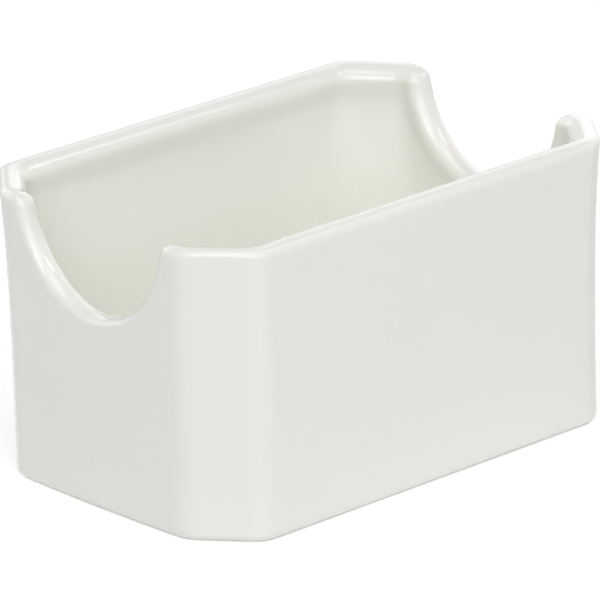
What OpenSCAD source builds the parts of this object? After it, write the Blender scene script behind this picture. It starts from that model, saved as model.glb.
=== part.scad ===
// Sugar packet holder: a one-piece china caddy with chamfered corners,
// a round rim and a finger scoop in each short end.
// +X along the length, +Z up, origin under the middle of the foot.

/* [Vessel] */
// Length over the rim, at the corners of the end walls
vessel_l = 105.4; // [100:0.2:112]
// Width over the rim
vessel_w = 73; // [70:0.2:80]
// Height of the rim above the table
vessel_h = 57; // [52:0.5:62]
// Thickness of the wall, also the width of the round rim
wall_t = 5.1; // [4.7:0.1:5.5]
// How far the end walls draw in from rim to foot
draw_end = 0.7; // [0.2:0.05:2]
// How far the long walls draw in from rim to foot
draw_long = 1.15; // [0.2:0.05:2]
// How late the flare opens towards the rim
flare_power = 3.6; // [2:0.2:5]

/* [Corners] */
// Length that a corner chamfer takes off the long wall
chamfer_x = 9.4; // [9:0.2:12]
// Length that it takes off the end wall
chamfer_y = 11.8; // [11:0.2:13]
// Rounding between end wall and chamfer, at the rim
edge_r_end = 5.8; // [4:0.2:7]
// The same at the foot
foot_r_end = 6.8; // [4:0.2:8]
// Rounding between chamfer and long wall, at the rim
edge_r_long = 5.2; // [3:0.2:6]
// The same at the foot
foot_r_long = 6.2; // [3:0.2:7]
// Rounding of the cavity's upright corners, at the rim
edge_r_in = 4.4; // [4:0.1:5.4]
// The same further down
deep_r_in = 10.4; // [8:0.2:11]
// How far below the rim that is reached
deep_run = 12; // [6:0.5:16]
// How far the end walls swell out in the middle, at the rim
end_bow = 0.2; // [0:0.05:0.6]
// The same at the foot
foot_bow = 0.65; // [0:0.05:0.8]

/* [Rim] */
// Where the crest lies across the long walls, from outside, as a share
crest_long = 0.44; // [0.4:0.01:0.5]
// Where it lies across the chamfers
crest_corner = 0.26; // [0.25:0.01:0.4]
// Depth of the outer rounding on the long walls
rim_out_long = 2.25; // [1.8:0.05:2.8]
// Depth of the inner rounding on the long walls
rim_in_long = 2.9; // [2.2:0.05:3.4]
// Depth of the outer rounding on the chamfers
rim_out_corner = 1.4; // [1:0.05:2.4]
// Depth of the inner rounding on the chamfers
rim_in_corner = 3; // [2:0.05:3.4]
// Depth of the outer rounding in the scoops
rim_out_scoop = 1.3; // [1:0.05:1.8]
// Depth of the inner rounding in the scoops
rim_in_scoop = 2.1; // [1.4:0.05:2.3]
// How square the rounding is in the scoops, where 2 is an ellipse
scoop_power = 2.6; // [2:0.1:3.2]
// How far the cavity's wall falls back under the rim
cove_d = 0.5; // [0:0.05:0.7]
// Height of that hollow
cove_run = 5; // [2:0.5:8]

/* [Scoops] */
// Radius of the scoop's hollow
scoop_r = 19.3; // [18.5:0.1:20]
// Depth of the scoop below its shoulders
scoop_depth = 18.7; // [17.5:0.1:19.2]
// Rounding of the two shoulders beside the scoop
shoulder_r = 2.9; // [2.5:0.1:3.6]
// How much lower the shoulders lie than the rim of the long walls
rim_dip = 0.35; // [0:0.05:0.6]
// How far along the long wall the rim rises back to its full height
dip_run = 6; // [2:0.5:12]

/* [Base] */
// Height of the cavity's floor above the table
floor_h = 6.2; // [5.6:0.1:8]
// Fillet between the cavity's walls and its floor
floor_r = 6; // [4:0.2:6.2]
// Rounding of the floor's corners, in plan
floor_corner_r = 4; // [2:0.2:5]
// Rounding of the vessel's bottom edge
foot_edge_r = 1.7; // [1.4:0.1:2.2]
// Width of the bare foot ring
foot_w = 4.4; // [3.6:0.1:5]
// Depth of the panel inside the foot ring, before glazing
panel_d = 1.6; // [1.2:0.1:2]
// Run of the slope from the foot ring up to the panel
panel_slope = 1.5; // [1:0.1:2.5]

/* [Glaze] */
// Thickness of the fired glaze
glaze_t = 0.35; // [0.25:0.05:0.5]
// Bare margin around the glaze of the panel
glaze_margin = 0.4; // [0.2:0.1:1]

/* [Hidden] */

// Turn from end wall to chamfer, and its share of each rounding's reach
slant = atan2(chamfer_x, chamfer_y);
reach_end = tan(slant / 2);
reach_long = tan((90 - slant) / 2);
half_l = vessel_l / 2;
half_w = vessel_w / 2;
least_r = 0.8;

// Lengths of the five stretches of a quarter of the plan: end wall,
// rounding, chamfer, rounding, long wall; and where each begins and ends
function laps(a, b, e, r1, r2) =
    let (y1 = b - chamfer_y + e * (1 - reach_end) - r1 * reach_end,
         x2 = a - chamfer_x + e * (1 - reach_long) - r2 * reach_long)
    [y1, r1 * PI * slant / 180,
     norm([a - r1 + r1 * cos(slant) - x2 - r2 * cos(slant), y1 + r1 * sin(slant) - b + r2 - r2 * sin(slant)]),
     r2 * PI * (90 - slant) / 180, x2];
function marks(l) = [for (i = 0, s = 0; i <= 5; s = s + (i < 5 ? l[i] : 0), i = i + 1) s];
mark = marks(laps(half_l, half_w, 0, edge_r_end, edge_r_long));
mark_in = marks(laps(half_l - wall_t, half_w - wall_t, wall_t, edge_r_in, edge_r_in));

// Stretch and share of it at a run along a plan with these marks
function spot(s, m) =
    let (k = s < m[1] ? 0 : s < m[2] ? 1 : s < m[3] ? 2 : s < m[4] ? 3 : 4)
    [k, max(0, min(1, (s - m[k]) / (m[k + 1] - m[k])))];

// The cavity's own run for a run along the rim: the same on the end wall,
// so that the scoop is cut straight through, then spread over the rest
hold = min(mark[1], mark_in[1]);
function run_in(s) =
    s <= hold ? s :
    s <= mark[3] ? hold + (s - hold) * (mark_in[3] - hold) / (mark[3] - hold) :
    mark_in[3] + (s - mark[3]) * (mark_in[5] - mark_in[3]) / (mark[5] - mark[3]);

// A point of the plan at a stretch and share, from half sizes and roundings,
// with the chamfer moved inwards by e
function plan(at, a, b, e, r1, r2) =
    let (k = at[0], f = at[1],
         y1 = b - chamfer_y + e * (1 - reach_end) - r1 * reach_end,
         x2 = a - chamfer_x + e * (1 - reach_long) - r2 * reach_long,
         w1 = slant * f, w2 = slant + (90 - slant) * f)
    k == 0 ? [a, y1 * f] :
    k == 1 ? [a - r1 + r1 * cos(w1), y1 + r1 * sin(w1)] :
    k == 2 ? let (p = [a - r1 + r1 * cos(slant), y1 + r1 * sin(slant)],
                  q = [x2 + r2 * cos(slant), b - r2 + r2 * sin(slant)]) p + (q - p) * f :
    k == 3 ? [x2 + r2 * cos(w2), b - r2 + r2 * sin(w2)] :
    [x2 * (1 - f), b];

function draw_in(z) = 1 - pow(max(0, min(1, z / vessel_h)), flare_power);
bow_half = mark[2];
function bowed(p, u) =
    [p[0] + (end_bow + (foot_bow - end_bow) * u) * max(0, 1 - pow(p[1] / bow_half, 2)), p[1]];

// Points of the outside and of the cavity's wall, d inside the clay, and
// for the cavity with corners of radius r
function outside(s, z, d) =
    let (u = draw_in(z))
    bowed(plan(spot(s, mark),
        half_l - draw_end * u - d, half_w - draw_long * u - d, d,
        max(least_r, edge_r_end + (foot_r_end - edge_r_end) * u - d),
        max(least_r, edge_r_long + (foot_r_long - edge_r_long) * u - d)), u);
function cavity(s, z, d, r) =
    let (u = draw_in(z), e = wall_t - d)
    bowed(plan(spot(run_in(s), mark_in),
        half_l - draw_end * u - e, half_w - draw_long * u - e, e,
        max(floor_corner_r, r + d), max(floor_corner_r, r + d)), u);

// The rim's line in a quarter, as run along the plan, height, and the
// direction square to it: hollow, shoulder, then level
lean = acos((scoop_r - scoop_depth + shoulder_r) / (scoop_r + shoulder_r));
shoulder_s = (scoop_r + shoulder_r) * sin(lean);
function ease(s, a, b) = let (u = max(0, min(1, (s - a) / (b - a)))) u * u * (3 - 2 * u);
knots = concat(
    [for (i = [1 : 4]) mark[1] + (mark[2] - mark[1]) * i / 4],
    [for (i = [1 : 2]) mark[2] + (mark[3] - mark[2]) * i / 2],
    [for (i = [1 : 4]) mark[3] + (mark[4] - mark[3]) * i / 4],
    [for (i = [1 : 3]) mark[4] + (mark[5] - mark[4]) * i / 3]);
level_s = concat([shoulder_s], [for (s = knots) if (s > shoulder_s + glaze_t) s]);
rim_line = concat(
    [for (i = [0 : 7]) let (w = lean * i / 8)
        [scoop_r * sin(w), vessel_h - scoop_depth + scoop_r * (1 - cos(w)), -sin(w), cos(w)]],
    [for (i = [0 : 5]) let (w = lean * (1 - i / 6))
        [shoulder_s - shoulder_r * sin(w), vessel_h - shoulder_r * (1 - cos(w)), -sin(w), cos(w)]],
    [for (s = level_s) [s, vessel_h, 0, 1]]);
rim = [for (r = rim_line) [r[0], r[1] - rim_dip * (1 - ease(r[0], mark[1], mark[4] + dip_run)), r[2], r[3]]];

// Section of the rim at each station: place of the crest, depth of the outer
// and of the inner rounding, and power of the rounding
in_scoop = [0.5, rim_out_scoop, rim_in_scoop, scoop_power];
on_chamfer = [crest_corner, rim_out_corner, rim_in_corner, 2];
on_long = [crest_long, rim_out_long, rim_in_long, 2];
section = [for (r = rim)
    let (early = ease(r[0], shoulder_s - 9, shoulder_s), late = ease(r[0], shoulder_s - 5, mark[2] + 3),
         f = [early, late, late, early], g = ease(r[0], mark[3] - 2, mark[4] + 4))
    [for (j = [0 : 3]) (in_scoop[j] * (1 - f[j]) + on_chamfer[j] * f[j]) * (1 - g) + on_long[j] * g]];

// A point below the rim's line, and where the rim passes into the walls:
// run along the plan, then height
function below(i, e) = [rim[i][0] - rim[i][2] * e, rim[i][1] - rim[i][3] * e];
function out_top(i) = below(i, section[i][1]);
function in_top(i) = below(i, section[i][2]);

// Rows of points for a quarter, one function for each zone of the section
last = len(rim) - 1;
function at(p, z) = [p[0], p[1], z];
function foot_row(inset, z) = [for (i = [0 : last]) at(outside(out_top(i)[0], z, inset), z)];
function edge_row(b, d) =
    let (r = foot_edge_r - d, z = r * (1 - sin(b)))
    foot_row(foot_edge_r - r * cos(b), z);
function outer_row(k, d) =
    [for (i = [0 : last]) let (t = out_top(i), z = foot_edge_r - d + (t[1] - foot_edge_r + d) * k)
        at(outside(t[0], z, d), z)];
function rim_row(w, d, inner) =
    [for (i = [0 : last])
        let (q = section[i], c = (q[0] * wall_t - d) / (wall_t - 2 * d), h = inner ? q[2] : q[1],
             side = 1 - pow(cos(w), 2 / q[3]), m = inner ? 1 - (1 - c) * side : c * side,
             t = below(i, h - (h - d) * pow(sin(w), 2 / q[3])))
        at(outside(t[0], t[1], d) * (1 - m) + cavity(t[0], t[1], d, edge_r_in) * m, t[1])];
function inner_row(k, d) =
    [for (i = [0 : last])
        let (t = in_top(i), high = t[1] - floor_h - floor_r, down = high * k, z = t[1] - down,
             cove = cove_d * ease(down, 0, cove_run) * (1 - ease(down, cove_run, high)))
        at(cavity(t[0], z, d + cove, edge_r_in + (deep_r_in - edge_r_in) * ease(down, 0, deep_run)), z)];
function fillet_row(b, d) =
    let (z = floor_h + floor_r - (floor_r + d) * sin(b))
    [for (i = [0 : last]) at(cavity(in_top(i)[0], z, (floor_r + d) * cos(b) - floor_r, deep_r_in), z)];

// A whole ring from a quarter's row
turn = concat([for (i = [0 : last - 1]) [i, 1, 1]], [for (i = [last : -1 : 1]) [i, -1, 1]],
              [for (i = [0 : last - 1]) [i, -1, -1]], [for (i = [last : -1 : 1]) [i, 1, -1]]);
function ring(row) = [for (e = turn) [row[e[0]][0] * e[1], row[e[0]][1] * e[2], row[e[0]][2]]];
count = len(turn);

// The glazed face from the bottom edge over the rim to the floor, d deep
function glazed_rows(d) = concat(
    [for (b = [60, 30, 0]) edge_row(b, d)],
    [for (k = [0.3, 0.55, 0.75, 0.9]) outer_row(k, d)],
    [for (w = [0, 36, 72, 90]) rim_row(w, d, false)],
    [for (w = [72, 36, 0]) rim_row(w, d, true)],
    [for (k = [0.05, 0.1, 0.35, 1]) inner_row(k, d)],
    [for (b = [30, 60, 90]) fillet_row(b, d)]);

// A closed skin through rows of points, with a middle point at each end.
// The first `turned` strips are split along their other diagonal.
module skin(first, rows, end, turned) {
    n = len(rows);
    points = concat([first], [for (r = rows) each ring(r)], [end]);
    polyhedron(points, concat(
        [for (i = [0 : count - 1]) [0, 1 + i, 1 + (i + 1) % count]],
        [for (j = [0 : n - 2], i = [0 : count - 1])
            let (a = 1 + j * count + i, b = 1 + j * count + (i + 1) % count, c = b + count, d = a + count)
            each j < turned ? [[a, d, b], [b, d, c]] : [[a, c, b], [a, d, c]]],
        [for (i = [0 : count - 1])
            [len(points) - 1, 1 + (n - 1) * count + (i + 1) % count, 1 + (n - 1) * count + i]]));
}

foot_inset = foot_edge_r + foot_w;
panel_inset = foot_inset + panel_slope;

module china_body() {
    color("#e9e5d8")
    skin([0, 0, panel_d],
         concat([foot_row(panel_inset, panel_d),
                 foot_row(foot_inset + panel_slope / 3, panel_d / 3),
                 foot_row(foot_inset, 0),
                 foot_row(foot_edge_r, 0)],
                glazed_rows(glaze_t)),
         [0, 0, floor_h - glaze_t], 0);
}

module glaze_coat() {
    under = glazed_rows(glaze_t);
    color("#e4e3df")
    skin([0, 0, floor_h - glaze_t],
         concat([for (j = [len(under) - 1 : -1 : 0]) under[j]], glazed_rows(0)),
         [0, 0, floor_h], len(under) - 1);
}

module base_glaze() {
    color("#e4e3df")
    translate([0, 0, panel_d - glaze_t])
    linear_extrude(glaze_t)
    polygon([for (p = ring(foot_row(panel_inset + glaze_margin, panel_d))) [p[0], p[1]]]);
}

china_body();
glaze_coat();
base_glaze();
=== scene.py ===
import bpy
import numpy as np
from mathutils import Matrix, Vector


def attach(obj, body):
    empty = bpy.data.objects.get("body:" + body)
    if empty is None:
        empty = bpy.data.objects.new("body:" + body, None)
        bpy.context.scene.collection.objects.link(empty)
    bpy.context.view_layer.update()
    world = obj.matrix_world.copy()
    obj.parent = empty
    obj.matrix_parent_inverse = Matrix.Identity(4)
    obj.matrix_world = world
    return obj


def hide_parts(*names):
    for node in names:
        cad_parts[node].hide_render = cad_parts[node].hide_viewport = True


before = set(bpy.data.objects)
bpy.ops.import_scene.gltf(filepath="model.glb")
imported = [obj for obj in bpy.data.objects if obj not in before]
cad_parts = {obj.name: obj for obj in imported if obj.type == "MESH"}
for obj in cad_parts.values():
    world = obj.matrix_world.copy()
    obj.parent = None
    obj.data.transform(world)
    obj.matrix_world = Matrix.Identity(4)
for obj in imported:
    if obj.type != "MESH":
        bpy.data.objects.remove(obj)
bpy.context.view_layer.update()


# China body: the vessel itself, one piece of vitrified china, cast or pressed with its chamfered corners and
# scooped ends. Everything but the flat foot ring lies under glaze, so only that ring and the slope inside it are
# bare. The sizes are in millimetres and follow the part's source, apart from small refinements of the rim.
MM = 0.001
LENGTH, WIDTH, HEIGHT, WALL = 105.4, 73.0, 57.0, 5.1
DRAW_END, DRAW_LONG, FLARE = 0.7, 1.15, 3.6
CHAMFER_X, CHAMFER_Y = 9.4, 11.8
EDGE_END, EDGE_LONG, EDGE_IN, LEAST_EDGE = 5.8, 5.2, 4.4, 0.8
FOOT_EDGE_END, FOOT_EDGE_LONG = 6.8, 6.2
DEEP_EDGE_IN, DEEP_FROM, DEEP_RUN = 10.4, 3.0, 15.0
COVE_D, CORNER_COVE, COVE_LEAD, COVE_RUN, COVE_END, LEAST_OFF = 0.58, 0.3, 12.0, 4.0, 23.0, 0.01
END_BOW, FOOT_BOW, BOW_SOFTNESS = 0.2, 0.65, 0.02
SCOOP_LOW, DIP_RUN = 37.95, 6.0
FLOOR_H, FLOOR_R, FLOOR_CORNER = 6.2, 6.0, 4.0
FOOT_EDGE, FOOT_W, PANEL_D, PANEL_SLOPE, PANEL_HOLLOW = 1.7, 4.4, 1.6, 1.5, 1.6
GLAZE, GLAZE_FROM_DEGREES = 0.35, 60

# Columns of the mesh along the scoop, the shoulder and the five stretches of the level rim, and its rows up the
# bottom edge, the wall, each rounding of the rim, the fillet and the floor. The walls' rows crowd towards the rim.
SCOOP_COLUMNS, SHOULDER_COLUMNS, LEVEL_COLUMNS = 26, 16, (1, 8, 10, 12, 16)
EDGE_ROWS, WALL_ROWS, RIM_ROWS, FILLET_ROWS, FLOOR_ROWS, CROWDING = 8, 24, 14, 12, 8, 1.3

SLANT = np.arctan2(CHAMFER_X, CHAMFER_Y)
REACH_END, REACH_LONG = np.tan(SLANT / 2), np.tan((np.pi / 2 - SLANT) / 2)


def plan_marks(half_x, half_y, inset, r_end, r_long):
    """Running lengths at which a quarter of the plan changes from straight to arc, chamfer, arc and straight."""
    y1 = half_y - CHAMFER_Y + inset * (1 - REACH_END) - r_end * REACH_END
    x2 = half_x - CHAMFER_X + inset * (1 - REACH_LONG) - r_long * REACH_LONG
    flat = np.hypot(half_x - r_end * (1 - np.cos(SLANT)) - x2 - r_long * np.cos(SLANT),
                    half_y - r_long * (1 - np.sin(SLANT)) - y1 - r_end * np.sin(SLANT))
    return np.cumsum([0.0, y1, r_end * SLANT, flat, r_long * (np.pi / 2 - SLANT), x2])


MARKS = plan_marks(LENGTH / 2, WIDTH / 2, 0.0, EDGE_END, EDGE_LONG)
MARKS_IN = plan_marks(LENGTH / 2 - WALL, WIDTH / 2 - WALL, WALL, EDGE_IN, EDGE_IN)


def quarter_plan(run, marks, half_x, half_y, inset, r_end, r_long):
    """A quarter of the plan, from the middle of an end wall to the middle of a long wall: straight, arc,
    straight chamfer, arc, straight. `run` is a length along the plan that has these marks, and its share of
    each of the five stretches is the share that the point has of the same stretch of this plan."""
    stretch = np.clip(np.searchsorted(marks, run, "right") - 1, 0, 4)
    share = np.clip((run - marks[stretch]) / (marks[stretch + 1] - marks[stretch]), 0.0, 1.0)
    y1 = half_y - CHAMFER_Y + inset * (1 - REACH_END) - r_end * REACH_END
    x2 = half_x - CHAMFER_X + inset * (1 - REACH_LONG) - r_long * REACH_LONG
    turn1, turn2 = SLANT * share, SLANT + (np.pi / 2 - SLANT) * share
    px, py = half_x - r_end * (1 - np.cos(SLANT)), y1 + r_end * np.sin(SLANT)
    qx, qy = x2 + r_long * np.cos(SLANT), half_y - r_long * (1 - np.sin(SLANT))
    x = np.choose(stretch, [half_x + 0 * share, half_x - r_end * (1 - np.cos(turn1)), px + (qx - px) * share,
                            x2 + r_long * np.cos(turn2), x2 * (1 - share)])
    y = np.choose(stretch, [y1 * share, y1 + r_end * np.sin(turn1), py + (qy - py) * share,
                            half_y - r_long * (1 - np.sin(turn2)), half_y + 0 * share])
    return x, y


def draw_in(z):
    """Share of the taper at height z: one at the foot, falling to nothing at the rim by a power of the height."""
    return 1 - np.clip(z / HEIGHT, 0.0, 1.0) ** FLARE


def swell(y):
    """Share of an end wall's bow: a parabola, one in the middle, that runs out softly at the chamfer."""
    rise = 1 - (y / MARKS[2]) ** 2
    return (rise + np.sqrt(rise * rise + BOW_SOFTNESS)) / 2


def outside(run, z, deep):
    """The outer wall at height z, moved `deep` into the clay: the plan shrunk by the taper and by `deep`, with its
    end walls swelling out in the middle."""
    u = draw_in(z)
    x, y = quarter_plan(run, MARKS, LENGTH / 2 - DRAW_END * u - deep, WIDTH / 2 - DRAW_LONG * u - deep, deep,
                        np.maximum(LEAST_EDGE, EDGE_END + (FOOT_EDGE_END - EDGE_END) * u - deep),
                        np.maximum(LEAST_EDGE, EDGE_LONG + (FOOT_EDGE_LONG - EDGE_LONG) * u - deep))
    return x + (END_BOW + (FOOT_BOW - END_BOW) * u) * swell(y), y


def cavity(run, z, deep, corner):
    """The cavity's wall at height z, moved `deep` into the clay: the same plan, a wall's thickness further in.
    Its upright corners have the radius `corner`. On the end wall it keeps the run of the outside, so that the
    scoop is cut straight through."""
    u, inset = draw_in(z), WALL - deep
    corner = np.maximum(FLOOR_CORNER, corner + deep)
    hold = min(MARKS[1], MARKS_IN[1])
    run = np.interp(run, [0, hold, MARKS[3], MARKS[5]], [0, hold, MARKS_IN[3], MARKS_IN[5]])
    x, y = quarter_plan(run, MARKS_IN, LENGTH / 2 - DRAW_END * u - inset, WIDTH / 2 - DRAW_LONG * u - inset, inset,
                        corner, corner)
    return x + (END_BOW + (FOOT_BOW - END_BOW) * u) * swell(y), y


def ease(x, start, end):
    """A smooth step from nothing at `start` to one at `end`."""
    u = np.clip((x - start) / (end - start), 0.0, 1.0)
    return u * u * (3 - 2 * u)


# The rim's section over a scoop and on a long wall: place of the crest across the wall, depth of the outer and of
# the inner rounding, and how square the two are. It changes a little before or after the stretches of the plan do.
SCOOP_RIM, WALL_RIM = (0.5, 1.8, 2.1, 2.15), (0.44, 2.25, 2.9, 2.0)
CREST_LEAD, DEPTH_LEAD, DEPTH_LAG, WALL_LEAD, WALL_LAG = 9.0, 5.0, 3.0, 2.0, 4.0


def rim_line(dip, scoop_r, shoulder_r, chamfer_rim):
    """The rim of a quarter seen along the wall: the scoop's hollow arc, the shoulder's arc the other way, then
    a line that rises out of its dip to the level of the long wall. Gives the run along the wall, the height, the
    direction square to the line, the rim's section, blended from the scoop's, the chamfer's and the long wall's,
    and the scoop's radius."""
    lean = np.arccos((scoop_r - (HEIGHT - dip - SCOOP_LOW) + shoulder_r) / (scoop_r + shoulder_r))
    shoulder = (scoop_r + shoulder_r) * np.sin(lean)
    hollow = np.linspace(0, lean, SCOOP_COLUMNS + 1)[:-1]
    back = np.linspace(lean, 0, SHOULDER_COLUMNS + 1)[:-1]
    stops = [shoulder, *MARKS[1:]]
    level = np.concatenate([np.linspace(a, b, n + 1)[:-1] for a, b, n in zip(stops, stops[1:], LEVEL_COLUMNS)]
                           + [MARKS[5:]])
    run = np.concatenate([scoop_r * np.sin(hollow), shoulder - shoulder_r * np.sin(back), level])
    z = np.concatenate([SCOOP_LOW + dip + scoop_r * (1 - np.cos(hollow)),
                        HEIGHT - shoulder_r * (1 - np.cos(back)), np.full(level.size, HEIGHT)])
    tilt = np.concatenate([hollow, back, 0 * level])
    early = ease(run, shoulder - CREST_LEAD, shoulder)
    late = ease(run, shoulder - DEPTH_LEAD, MARKS[2] + DEPTH_LAG)
    on_wall = ease(run, MARKS[3] - WALL_LEAD, MARKS[4] + WALL_LAG)
    section = [(scoop * (1 - f) + chamfer * f) * (1 - on_wall) + wall * on_wall for scoop, chamfer, wall, f in
               zip(SCOOP_RIM, chamfer_rim, WALL_RIM, (early, late, late, early))]
    z = z - dip * (1 - ease(run, MARKS[1], MARKS[4] + DIP_RUN))
    return run, z, -np.sin(tilt), np.cos(tilt), *section, scoop_r


# The shoulders were sponged round by hand before firing, and the one at the front right less than the others.
# The quarters go round from +x+y by -x+y and -x-y to +x-y, the front right.
sponged_rim = rim_line(dip=0.35, scoop_r=19.3, shoulder_r=2.9, chamfer_rim=(0.26, 1.5, 3.0, 2.0))
square_rim = rim_line(dip=0.45, scoop_r=19.0, shoulder_r=2.4, chamfer_rim=(0.4, 1.1, 1.9, 2.8))
RIMS = [sponged_rim, sponged_rim, sponged_rim, square_rim]


def at_height(xy, z):
    """Rows of points from the plan's x and y and the height, which may be one number for a whole row."""
    return np.stack(np.broadcast_arrays(xy[0], xy[1], z), -1)


def glazed_face(rim, deep):
    """The whole glazed face of a quarter, `deep` under its surface, as rows from the bottom edge to the floor:
    a quarter round, the wall up to the rim, the rim's two roundings carried along its line while the outer plan
    turns into the cavity's, the wall down again, a hollow fillet, and the floor shrinking to its middle. The wall
    inside has a shallow cove, and corners that grow rounder, by the distance from the rim's line."""
    rim_run, rim_z, rim_ns, rim_nz, crest, out_depth, in_depth, power, scoop_r = rim
    out_run, out_top = rim_run - rim_ns * out_depth, rim_z - rim_nz * out_depth
    in_run, in_top = rim_run - rim_ns * in_depth, rim_z - rim_nz * in_depth

    turn = np.radians(np.linspace(GLAZE_FROM_DEGREES, 0, EDGE_ROWS + 1))[:-1, None]
    r = FOOT_EDGE - deep
    z = r * (1 - np.sin(turn)) + 0 * out_run
    edge = at_height(outside(out_run, z, FOOT_EDGE - r * np.cos(turn)), z)

    k = (1 - (1 - np.linspace(0, 1, WALL_ROWS + 1)) ** CROWDING)[:-1, None]
    z = r + (out_top - r) * k
    wall = at_height(outside(out_run, z, deep), z)

    rounds, crest = [], (crest * WALL - deep) / (WALL - 2 * deep)
    for turn, depth, start in ((np.linspace(0, np.pi / 2, RIM_ROWS + 1), out_depth, 0.0),
                               (np.linspace(np.pi / 2, 0, RIM_ROWS + 1)[1:], in_depth, 1.0)):
        side, up = np.cos(turn)[:, None].clip(0) ** (2 / power), np.sin(turn)[:, None] ** (2 / power)
        mix, sunk = start + (crest - start) * (1 - side), depth - (depth - deep) * up
        run, z = rim_run - rim_ns * sunk, rim_z - rim_nz * sunk
        outer, inner = outside(run, z, deep), cavity(run, z, deep, EDGE_IN)
        rounds.append(at_height([o * (1 - mix) + i * mix for o, i in zip(outer, inner)], z))

    k = (np.linspace(0, 1, WALL_ROWS + 1) ** CROWDING)[1:-1, None]
    z = in_top - (in_top - FLOOR_H - FLOOR_R) * k
    below, beside = HEIGHT - z - in_depth, np.hypot(in_run, SCOOP_LOW + scoop_r - z) - scoop_r - in_depth
    off = 1 / np.hypot(1 / below.clip(LEAST_OFF), 1 / beside.clip(LEAST_OFF))
    at_corner = ease(in_run, MARKS[1] - COVE_LEAD, MARKS[1]) * (1 - ease(in_run, MARKS[3], MARKS[4] + COVE_LEAD))
    cove = (COVE_D + CORNER_COVE * at_corner) * ease(off, 0, COVE_RUN) * (1 - ease(off, COVE_RUN, COVE_END))
    corner = EDGE_IN + (DEEP_EDGE_IN - EDGE_IN) * ease(off, DEEP_FROM, DEEP_RUN)
    lining = at_height(cavity(in_run, z, deep + cove, corner), z)

    turn = np.radians(np.linspace(0, 90, FILLET_ROWS + 1))[:, None]
    z = FLOOR_H + FLOOR_R - (FLOOR_R + deep) * np.sin(turn) + 0 * in_run
    fillet = at_height(cavity(in_run, z, (FLOOR_R + deep) * np.cos(turn) - FLOOR_R, DEEP_EDGE_IN), z)
    shrink = np.linspace(1, 0, FLOOR_ROWS + 1)[1:-1, None, None]
    floor = fillet[-1:] * [1, 1, 0] * shrink + [0, 0, FLOOR_H - deep]
    return np.concatenate([edge, wall, *rounds, lining, fillet, floor])


def whole_ring(quarter):
    """All four quarters of rows of points: what `quarter` gives for each rim line, mirrored in turn, so that each
    row closes on itself."""
    first, second, third, fourth = (quarter(rim) for rim in RIMS)
    return np.concatenate([first[:, :-1], second[:, :0:-1] * [-1, 1, 1], third[:, :-1] * [-1, -1, 1],
                           fourth[:, :0:-1] * [1, -1, 1]], axis=1)


def closed_skin(name, rows, first, last):
    """A closed mesh through whole rows of points, with a middle point at each end, in metres: each row is a ring,
    neighbouring rings are joined by four-sided faces, and each end ring by a fan to its middle point."""
    high, round_ = rows.shape[:2]
    points = np.concatenate([[first], rows.reshape(-1, 3), [last]]) * MM
    here = np.arange(round_)
    after = (here + 1) % round_
    strip = np.stack([here, after, after + round_, here + round_], -1) + 1
    quads = (strip[None] + round_ * np.arange(high - 1)[:, None, None]).reshape(-1, 4)
    end = 1 + round_ * (high - 1)
    caps = [np.stack([0 * here, after + 1, here + 1], -1),
            np.stack([0 * here + len(points) - 1, here + end, after + end], -1)]
    mesh = bpy.data.meshes.new(name)
    mesh.from_pydata(points.tolist(), [], quads.tolist() + np.concatenate(caps).tolist())
    mesh.shade_smooth()
    piece = bpy.data.objects.new(name, mesh)
    bpy.context.scene.collection.objects.link(piece)
    return piece


def foot_row(rim, inset, z):
    """One row of the underside: the outer plan moved in by `inset`, at height z, in the columns of the wall."""
    rim_run, _, rim_ns, _, _, out_depth = rim[:6]
    run = rim_run - rim_ns * out_depth
    return at_height(outside(run, np.full(run.size, z), inset), z)[None]


FOOT_IN = FOOT_EDGE + FOOT_W
PANEL_IN = FOOT_IN + PANEL_SLOPE


def body_quarter(rim):
    """The body's rows: the panel under the base, its hollow slope, the flat foot ring, then all that is glazed."""
    return np.concatenate(
        [foot_row(rim, PANEL_IN, PANEL_D) * [s, s, 1] for s in (0.25, 0.5, 0.75)]
        + [foot_row(rim, PANEL_IN - PANEL_SLOPE * s, PANEL_D * (1 - s) ** PANEL_HOLLOW) for s in np.linspace(0, 1, 9)]
        + [foot_row(rim, FOOT_IN + (FOOT_EDGE - FOOT_IN) * s, 0.0) for s in np.linspace(0.1, 1, 6)]
        + [glazed_face(rim, GLAZE)])


fired_china = closed_skin("fired_china", whole_ring(body_quarter), [0, 0, PANEL_D], [0, 0, FLOOR_H - GLAZE])


def linear(hexcode):
    """A linear colour from an sRGB hex value."""
    c = np.array([int(hexcode[i:i + 2], 16) for i in (1, 3, 5)]) / 255
    return (*np.where(c <= 0.04045, c / 12.92, ((c + 0.055) / 1.055) ** 2.4), 1.0)


def node(material, kind, links=(), settings=(), **inputs):
    """Adds one node: settings are its own properties, inputs the values of its sockets by name, and links
    pairs of an input socket and the output that feeds it."""
    n = material.node_tree.nodes.new(kind)
    for key, value in dict(settings).items():
        setattr(n, key, value)
    for key, value in inputs.items():
        n.inputs[key.replace("_", " ")].default_value = value
    for socket, source in links:
        material.node_tree.links.new(source, n.inputs[socket])
    return n


def new_material(name):
    """An empty node material, its output and its Object coordinates."""
    material = bpy.data.materials.new(name)
    material.use_nodes = True
    material.node_tree.nodes.clear()
    output = node(material, "ShaderNodeOutputMaterial")
    place = node(material, "ShaderNodeTexCoord").outputs["Object"]
    return material, output, place


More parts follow.
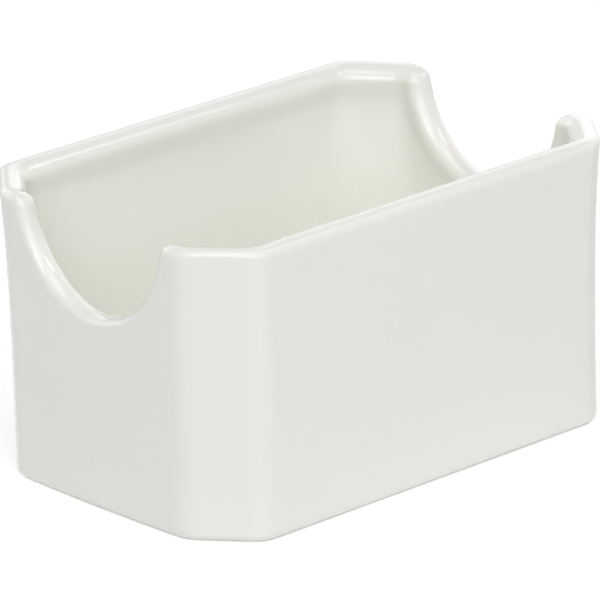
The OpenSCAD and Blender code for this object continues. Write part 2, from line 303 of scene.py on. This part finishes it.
# Bare vitrified china, ground smooth on the foot: matt and chalky, with a fine sandy grain, warmer patches from the
# kiln and a few thin grey scuffs from shelves. The real grain is a tenth of a millimetre, drawn coarser to show.
# Its sizes are in metres.
GRAIN, PATCH, SCUFF_LONG, SCUFF_WIDE, SCUFF_TURN = 0.00045, 0.011, 0.009, 0.0009, 0.6
bare_china, output, place = new_material("bare_fired_china")
grain = node(bare_china, "ShaderNodeTexNoise", [("Vector", place)], Scale=1 / GRAIN, Detail=4.0)
patch = node(bare_china, "ShaderNodeTexNoise", [("Vector", place)], Scale=1 / PATCH, Detail=3.0)
tone = node(bare_china, "ShaderNodeMix", [("Factor", patch.outputs["Fac"])], dict(data_type="RGBA"))
tone.inputs[6].default_value, tone.inputs[7].default_value = linear("#dfd9ca"), linear("#e9e4d7")
along = node(bare_china, "ShaderNodeMapping", [("Vector", place)], Rotation=(0.0, 0.0, SCUFF_TURN),
             Scale=(1 / SCUFF_LONG, 1 / SCUFF_WIDE, 1 / SCUFF_LONG))
rub = node(bare_china, "ShaderNodeTexNoise", [("Vector", along.outputs[0])], Scale=1.0, Detail=2.0)
scuff = node(bare_china, "ShaderNodeMapRange", [("Value", rub.outputs["Fac"])], From_Min=0.6, From_Max=0.72,
             To_Min=0.0, To_Max=0.5)
worn = node(bare_china, "ShaderNodeMix", [("Factor", scuff.outputs[0]), (6, tone.outputs[2])], dict(data_type="RGBA"))
worn.inputs[7].default_value = linear("#aaa69c")
relief = node(bare_china, "ShaderNodeBump", [("Height", grain.outputs["Fac"])], Strength=0.5, Distance=0.00006)
bare = node(bare_china, "ShaderNodeBsdfPrincipled",
            [("Base Color", worn.outputs[2]), ("Normal", relief.outputs["Normal"])], Roughness=0.72, IOR=1.5)
bare_china.node_tree.links.new(bare.outputs["BSDF"], output.inputs["Surface"])
fired_china.data.materials.append(bare_china)
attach(fired_china, "root")
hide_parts("china_body")


# Glaze coat: the clear glossy glaze, melted on over the outside, the round rim, the cavity's walls and its floor.
# It is a skin a third of a millimetre thick that ends in a soft lip just above the foot.
LIP_BULGE, LIP_ROWS = 0.12, 5


def coat_quarter(rim):
    """The coat's rows: its inner face from the floor to the lower edge, a rounded lip that bulges down between the
    two faces, and its outer face from there to the floor."""
    under, over = glazed_face(rim, GLAZE), glazed_face(rim, 0.0)
    lower, upper = under[:1], over[:1]
    turn = np.linspace(0, np.pi, LIP_ROWS + 2)[1:-1, None, None]
    lip = (lower + upper) / 2 + (lower - upper) / 2 * np.cos(turn) - np.sin(turn) * [0, 0, LIP_BULGE]
    return np.concatenate([under[::-1], lip, over])


coat = whole_ring(coat_quarter)
glaze_coat = closed_skin("clear_glaze_coat", coat, [0, 0, FLOOR_H - GLAZE], [0, 0, FLOOR_H])

# How far the glaze's colour moves to its thick shade, from nothing to one: it runs thin over the rim, and gathers
# inside, on the floor and a little in its lower lip, where it is a shade greener. Inside the cavity the same shade is
# also lighter, a painted lift that stands for light reaching the inside. The rows count from that lip over the rim to
# the floor, on both faces of the coat.
CREST_ROW = EDGE_ROWS + WALL_ROWS + RIM_ROWS
LINING_ROW = CREST_ROW + RIM_ROWS
FILLET_ROW = LINING_ROW + WALL_ROWS
POOL_ROWS, LIP_RUN, LINING_POOL_AND_LIGHT, LIP_THICK = 14, 12, 0.8, 0.5
row = np.maximum(np.abs(np.arange(len(coat)) - len(coat) // 2) - (LIP_ROWS + 1) // 2, 0)
inside_pool_and_light = LINING_POOL_AND_LIGHT + (1 - LINING_POOL_AND_LIGHT) * ease(row, FILLET_ROW - POOL_ROWS, FILLET_ROW)
glaze_pool_and_light = np.maximum(ease(row, CREST_ROW, LINING_ROW) * inside_pool_and_light, LIP_THICK * (1 - ease(row, 0, LIP_RUN)))
glaze_pool_and_light = np.pad(np.repeat(glaze_pool_and_light, coat.shape[1]), 1, "edge")
glaze_coat.data.attributes.new("glaze_pool_and_light", "FLOAT", "POINT").data.foreach_set("value", glaze_pool_and_light)

# Glossy off-white glaze, melted on in the kiln: smooth as glass, but with the slight waviness of a melt, a shade
# greener where it lies thick, and a few faint specks of iron from the clay. Inside the cavity its colour is also
# painted lighter, a painted lift that stands for light reaching the inside. Its sizes are in metres, apart from
# the specks' own, which is a share of their spacing.
CLOUD, WAVE, SPECK_SPACING, SPECK_CORE, SPECK_EDGE, SPECK_RARITY = 0.028, 0.008, 0.011, 0.018, 0.032, 0.55
glossy_glaze, output, place = new_material("glossy_off_white_glaze")
cloud = node(glossy_glaze, "ShaderNodeTexNoise", [("Vector", place)], Scale=1 / CLOUD, Detail=3.0)
tone = node(glossy_glaze, "ShaderNodeMix", [("Factor", cloud.outputs["Fac"])], dict(data_type="RGBA"))
tone.inputs[6].default_value, tone.inputs[7].default_value = linear("#f2f1ed"), linear("#f4f3ef")
# Mixes in the thick glaze's greener shade. Inside the cavity this is also painted light: a lighter colour that stands
# for light reaching the inside.
pool_and_light_map = node(glossy_glaze, "ShaderNodeAttribute", settings=dict(attribute_name="glaze_pool_and_light"))
tone_with_pool_and_light = node(glossy_glaze, "ShaderNodeMix", [("Factor", pool_and_light_map.outputs["Fac"]), (6, tone.outputs[2])],
                 dict(data_type="RGBA"))
tone_with_pool_and_light.inputs[7].default_value = linear("#f6f6ef")
cells = node(glossy_glaze, "ShaderNodeTexVoronoi", [("Vector", place)], Scale=1 / SPECK_SPACING)
dot = node(glossy_glaze, "ShaderNodeMapRange", [("Value", cells.outputs["Distance"])],
           From_Min=SPECK_CORE, From_Max=SPECK_EDGE, To_Min=0.13, To_Max=0.0)
pick = node(glossy_glaze, "ShaderNodeSeparateColor", [("Color", cells.outputs["Color"])])
kept = node(glossy_glaze, "ShaderNodeMath", [(0, pick.outputs["Red"])], dict(operation="GREATER_THAN"))
kept.inputs[1].default_value = SPECK_RARITY
speck = node(glossy_glaze, "ShaderNodeMath", [(0, dot.outputs[0]), (1, kept.outputs[0])], dict(operation="MULTIPLY"))
colour = node(glossy_glaze, "ShaderNodeMix", [("Factor", speck.outputs[0]), (6, tone_with_pool_and_light.outputs[2])],
              dict(data_type="RGBA"))
colour.inputs[7].default_value = linear("#a8926c")
wave = node(glossy_glaze, "ShaderNodeTexNoise", [("Vector", place)], Scale=1 / WAVE, Detail=1.0)
ripple = node(glossy_glaze, "ShaderNodeBump", [("Height", wave.outputs["Fac"])], Strength=0.3, Distance=0.0001)
shine = node(glossy_glaze, "ShaderNodeMapRange", [("Value", cloud.outputs["Fac"])], From_Min=0.3, From_Max=0.7,
             To_Min=0.1, To_Max=0.14)
gloss = node(glossy_glaze, "ShaderNodeBsdfPrincipled",
             [("Base Color", colour.outputs[2]), ("Normal", ripple.outputs["Normal"]),
              ("Roughness", shine.outputs[0])], IOR=1.5)
glossy_glaze.node_tree.links.new(gloss.outputs["BSDF"], output.inputs["Surface"])
glaze_coat.data.materials.append(glossy_glaze)
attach(glaze_coat, "root")
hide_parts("glaze_coat")


# Base glaze: the patch of the same glaze in the panel under the base, which the bare foot ring cuts off from the
# rest. It was laid on separately and wiped back from the foot, so its edge is a thin soft bead.
PANEL_MARGIN, BEAD_W = 0.4, 0.5


def bead_quarter(rim):
    """The patch's rows: its lower face from the middle out, a quarter round bead, and its upper face back in."""
    edge_in = PANEL_IN + PANEL_MARGIN
    bead = np.concatenate([foot_row(rim, edge_in + BEAD_W * (1 - np.sin(t)), PANEL_D - GLAZE * np.cos(t))
                           for t in np.linspace(0, np.pi / 2, 6)])
    return np.concatenate([bead[:1] * [s, s, 1] for s in (0.2, 0.4, 0.6, 0.8)] + [bead]
                          + [bead[-1:] * [s, s, 1] for s in (0.8, 0.6, 0.4, 0.2)])


base_glaze = closed_skin("panel_glaze", whole_ring(bead_quarter), [0, 0, PANEL_D - GLAZE], [0, 0, PANEL_D])
base_glaze.data.materials.append(glossy_glaze)
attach(base_glaze, "root")
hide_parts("base_glaze")


# Table and backdrop: a pale matt table top, a hair under the foot, that runs on into a plain white room, as on a
# studio sweep, and keeps the soft shadow of the vessel. Both are raised to white only for the eye, and give the
# vessel no light by it. Sizes from here on are in metres.
TABLE_HALF, TABLE_TOP, TABLE_LIFT = 3.0, -0.00002, 0.34
table_mesh = bpy.data.meshes.new("table")
corners = np.array([[-1, -1, 0], [1, -1, 0], [1, 1, 0], [-1, 1, 0]]) * TABLE_HALF + [0, 0, TABLE_TOP]
table_mesh.from_pydata(corners.tolist(), [], [[0, 1, 2, 3]])
table = bpy.data.objects.new("table", table_mesh)
bpy.context.scene.collection.objects.link(table)


def background_rays(material):
    """One for the rays that show the background to the eye, directly, in a reflection or through glass."""
    seen = node(material, "ShaderNodeLightPath").outputs
    either = node(material, "ShaderNodeMath", [(0, seen["Is Camera Ray"]), (1, seen["Is Glossy Ray"])],
                  dict(operation="MAXIMUM"))
    return node(material, "ShaderNodeMath", [(0, either.outputs[0]), (1, seen["Is Transmission Ray"])],
                dict(operation="MAXIMUM")).outputs[0]


white_table, output, place = new_material("white_table")
matt = node(white_table, "ShaderNodeBsdfDiffuse", Color=linear("#f3f3f2"))
glow = node(white_table, "ShaderNodeEmission", [("Strength", background_rays(white_table))],
            Color=(TABLE_LIFT, TABLE_LIFT, TABLE_LIFT, 1))
both = node(white_table, "ShaderNodeAddShader", [(0, matt.outputs[0]), (1, glow.outputs[0])])
white_table.node_tree.links.new(both.outputs[0], output.inputs["Surface"])
table.data.materials.append(white_table)

world = bpy.data.worlds.new("studio")
bpy.context.scene.world = world
world.use_nodes = True
world.node_tree.nodes.clear()
sky = node(world, "ShaderNodeBackground", [("Strength", background_rays(world))], Color=linear("#ffffff"))
node(world, "ShaderNodeOutputWorld", [("Surface", sky.outputs[0])])


# Lamps: soft boxes as in a product studio, all of them near one brightness, so that the glaze shows only faint
# highlights. A broad one stands in front and one overhead, a small one on either side gives the sheen on the rim
# and the scoop, and broad ones on the right and behind light the far walls and the inside.
LAMP_FAR, AIM_HEIGHT = 1.6, 0.03


def soft_box(name, azimuth, elevation, width, height, power):
    """An area lamp in the direction of two angles in degrees, seen from the middle of the vessel, and turned
    towards it."""
    round_, up = np.radians([azimuth, elevation])
    way = Vector((np.cos(up) * np.cos(round_), np.cos(up) * np.sin(round_), np.sin(up)))
    lamp = bpy.data.lights.new(name, "AREA")
    lamp.shape, lamp.size, lamp.size_y, lamp.energy = "RECTANGLE", width, height, power
    box = bpy.data.objects.new(name, lamp)
    bpy.context.scene.collection.objects.link(box)
    box.location = way * LAMP_FAR + Vector((0, 0, AIM_HEIGHT))
    box.rotation_euler = (-way).to_track_quat("-Z", "Y").to_euler()


soft_box("front_box", 236, 33, 2.0, 1.1, 15.2)
soft_box("high_box", 240, 77, 1.2, 0.8, 6.5)
soft_box("left_box", 218, 36, 0.7, 0.5, 2.6)
soft_box("right_box", 318, 48, 0.5, 0.4, 2.4)
soft_box("low_right_box", 15, 25, 1.8, 1.2, 6.8)
soft_box("back_box", 98, 31, 2.2, 0.8, 7.1)
soft_box("low_back_box", 108, 12, 1.8, 0.5, 3.9)


# Camera: a long lens at the photograph's angle, 42 degrees round to the left of the front wall and 20 degrees up.
# The middle of the vessel falls on the given pixel, a few off the middle of the picture.
LEFT, UP, ROLL = np.radians([-42.1005, 19.8641, 1.5939])
FAR, PIXELS_PER_MM = 1.2761, 5.3078
MIDDLE_X, MIDDLE_Y, PICTURE, SENSOR = 303.06, 293.55, 600, 36.0
back = np.array([np.sin(LEFT) * np.cos(UP), -np.cos(LEFT) * np.cos(UP), np.sin(UP)])
right = np.array([np.cos(LEFT), np.sin(LEFT), 0.0])
over_head = np.cross(back, right)
axes = np.stack([right * np.cos(ROLL) - over_head * np.sin(ROLL),
                 right * np.sin(ROLL) + over_head * np.cos(ROLL), back], 1)
lens = bpy.data.cameras.new("camera")
lens.sensor_fit, lens.sensor_width = "HORIZONTAL", SENSOR
lens.lens = PIXELS_PER_MM * FAR / MM / PICTURE * SENSOR
centre = (PICTURE - 1) / 2
lens.shift_x, lens.shift_y = (centre - MIDDLE_X) / PICTURE, (MIDDLE_Y - centre) / PICTURE
lens.clip_start, lens.clip_end = 0.05, 20.0
camera = bpy.data.objects.new("camera", lens)
bpy.context.scene.collection.objects.link(camera)
matrix = Matrix(axes.tolist()).to_4x4()
matrix.translation = Vector((0, 0, HEIGHT / 2 * MM)) + Vector(back) * FAR
camera.matrix_world = matrix
bpy.context.scene.camera = camera
bpy.context.scene.view_settings.view_transform = "Standard"
